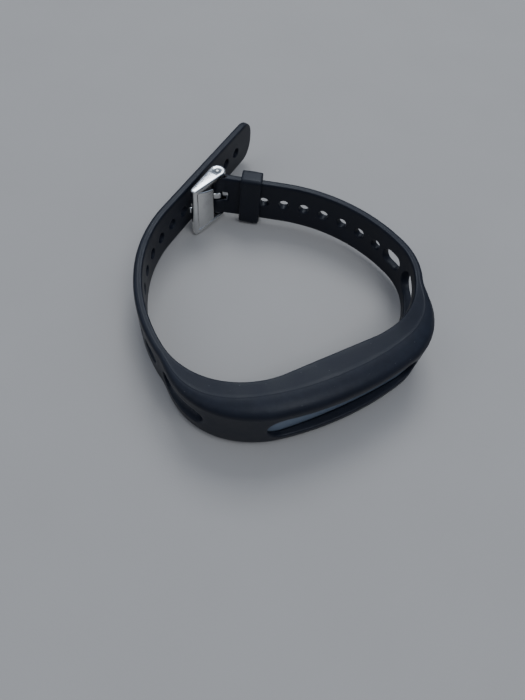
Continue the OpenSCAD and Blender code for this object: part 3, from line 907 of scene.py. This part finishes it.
# Maker of every material slot of the record, and what it takes: linear colours, then roughness
SLOTS_LOOKS = {
    "silicone": (elastomer, (0.0080, 0.0098, 0.0165), (0.020, 0.025, 0.038)),
    "keeper_silicone": (elastomer, (0.0075, 0.0095, 0.0155), (0.026, 0.032, 0.046)),
    "polished_steel": (polished_steel, (0.80, 0.80, 0.79), 0.1),
    "spring_bar_steel": (drawn_metal, (0.56, 0.56, 0.55), 0.22),
    "spring_steel": (drawn_metal, (0.42, 0.42, 0.41), 0.28),
    "case_plastic": (moulded_plastic, (0.012, 0.013, 0.016), 0.42),
    "seal_rubber": (moulded_plastic, (0.03, 0.03, 0.033), 0.6),
    # The lens's pale blue-grey base colour is painted reflection of the floor and sky that the glossy cover
    # mirrors.
    "lens_gloss": (glossy_cover, (0.24, 0.29, 0.36), 0.14),
    "adhesive": (moulded_plastic, (0.006, 0.006, 0.007), 0.7),
    "light_guide_clear": (moulded_plastic, (0.75, 0.79, 0.8), 0.3),
    "led_white": (moulded_plastic, (0.85, 0.8, 0.5), 0.3),
    "board_green": (printed_board, (0.01, 0.08, 0.035)),
    "chip_black": (moulded_plastic, (0.01, 0.01, 0.011), 0.5),
    "copper_flex": (drawn_metal, (0.72, 0.36, 0.16), 0.3),
    "battery_foil": (drawn_metal, (0.55, 0.56, 0.58), 0.32),
    "foam_tape": (moulded_plastic, (0.02, 0.02, 0.022), 0.9, 0.3, 0.05),
    "nickel": (drawn_metal, (0.62, 0.6, 0.55), 0.25),
    "motor_steel": (drawn_metal, (0.6, 0.6, 0.6), 0.24),
    "tungsten": (drawn_metal, (0.25, 0.24, 0.23), 0.45),
    "cradle_rubber": (moulded_plastic, (0.015, 0.015, 0.016), 0.7),
    "sensor_gloss": (glossy_cover, (0.006, 0.007, 0.01), 0.08),
    "led_green": (moulded_plastic, (0.08, 0.5, 0.14), 0.3),
    "photodiode_dark": (glossy_cover, (0.02, 0.022, 0.06), 0.12),
    "gold_contact": (drawn_metal, (0.85, 0.6, 0.25), 0.2),
}


def paint(piece, material):
    piece.data.materials.clear()
    piece.data.materials.append(material)


# Rounding in millimetres that CAD pieces get on their sharp edges
SOFT_EDGES = {
    "rear_case": 0.25,
    "front_case": 0.2,
    "cover_lens": 0.08,
    "sensor_window": 0.18,
    "charging_contacts": 0.08,
    "spring_bar_tube": 0.06,
    "spring_bar_plunger_upper": 0.08,
    "spring_bar_plunger_lower": 0.08,
}


def soften(piece, radius):
    """Rounds the sharp edges of a CAD piece without touching its own mesh."""
    bevel = piece.modifiers.new("soft_edges", "BEVEL")
    bevel.width = radius * MM
    bevel.segments = 3
    bevel.limit_method = "ANGLE"
    bevel.angle_limit = math.radians(40)
    bevel.harden_normals = False


def dress():
    """Builds the detailed pieces and gives them their bodies, and gives every piece its material."""
    looks = {}
    for slot, (maker, *values) in SLOTS_LOOKS.items():
        looks[slot] = maker(slot, *values)
    slot_of = {part["node"]: part["material_slot"] for part in frame["record"]["subparts"]}
    for name, node in frame["nodes"].items():
        paint(node, looks[slot_of[name]])
        if name in SOFT_EDGES:
            soften(node, SOFT_EDGES[name])
    for maker, body, node in (
        (make_strap, "band", "strap"),
        (make_keeper, "keeper", "keeper"),
        (make_buckle, "buckle", "buckle_frame"),
        (make_tongue, "tongue", "buckle_tongue"),
    ):
        piece = maker()
        paint(piece, looks[slot_of[node]])
        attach(piece, body)
        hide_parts(node)


# ---------- stage ----------

CAMERA_AT = BAND + Vector((-49.6, -43.3, 110.0))
CAMERA_FORWARD = Vector((0.2915, 0.4276, -0.8557)).normalized()
CAMERA_ROLL = math.radians(-8.55)
CAMERA_LENS = 26.91
# Softboxes as name, direction, distance and size in metres, watts, colour
SOFTBOXES = [
    ("window_light", (0.29, 0.5, 0.82), 0.9, 0.4, 3.2, (0.85, 0.92, 1.0)),
    ("front_light", (0.1, -0.42, 0.9), 0.9, 0.35, 1.6, (0.9, 0.95, 1.0)),
    ("room_light", (-0.9, 0.2, 0.75), 1.1, 0.8, 0.7, (1.0, 0.95, 0.88)),
]
ROOM_LOW = (0.05, 0.05, 0.05)
ROOM_HIGH = (0.4, 0.48, 0.62)
ROOM_HIGH_FROM = 0.9
FLOOR_SIZE = 4


def make_camera():
    forward = CAMERA_FORWARD
    level = forward.cross(Vector((0, 0, 1))).normalized()
    above = level.cross(forward)
    right = level * math.cos(CAMERA_ROLL) - above * math.sin(CAMERA_ROLL)
    up = level * math.sin(CAMERA_ROLL) + above * math.cos(CAMERA_ROLL)
    data = bpy.data.cameras.new("camera")
    data.lens = CAMERA_LENS
    data.clip_start = 0.005
    camera = bpy.data.objects.new("camera", data)
    camera.matrix_world = Matrix((right, up, -forward)).transposed().to_4x4()
    camera.location = CAMERA_AT * MM
    bpy.context.scene.collection.objects.link(camera)
    bpy.context.scene.camera = camera


def softbox(name, direction, distance, size, power, colour):
    """A square light that looks back at the object from a direction."""
    data = bpy.data.lights.new(name, "AREA")
    data.size = size
    data.energy = power
    data.color = colour
    light = bpy.data.objects.new(name, data)
    direction = Vector(direction)
    light.location = direction.normalized() * distance
    light.rotation_euler = direction.to_track_quat("Z", "Y").to_euler()
    bpy.context.scene.collection.objects.link(light)


def make_stage():
    bpy.ops.mesh.primitive_plane_add(size=FLOOR_SIZE)
    floor = bpy.context.object
    floor.name = "floor"
    look = Look("floor_pale", (0.47, 0.44, 0.41), 0.8, specular=0.2)
    look.colour(look.blend(look.noise(30, 3, 0.5), (0.455, 0.425, 0.395), (0.485, 0.455, 0.425)))
    look.bump(look.noise(0.5, 2, 0.5), 0.02)
    paint(floor, look.material)
    for values in SOFTBOXES:
        softbox(*values)
    world = bpy.data.worlds.new("room")
    world.use_nodes = True
    tree = world.node_tree
    background = tree.nodes["Background"]
    background.inputs["Strength"].default_value = 1.0
    direction = tree.nodes.new("ShaderNodeTexCoord").outputs["Generated"]
    height = tree.nodes.new("ShaderNodeSeparateXYZ")
    ramp = tree.nodes.new("ShaderNodeValToRGB")
    ramp.color_ramp.elements[0].color = (*ROOM_LOW, 1)
    ramp.color_ramp.elements[1].color = (*ROOM_HIGH, 1)
    ramp.color_ramp.elements[1].position = ROOM_HIGH_FROM
    tree.links.new(direction, height.inputs[0])
    tree.links.new(height.outputs["Z"], ramp.inputs["Fac"])
    tree.links.new(ramp.outputs["Color"], background.inputs["Color"])
    bpy.context.scene.world = world


dress()
make_camera()
make_stage()
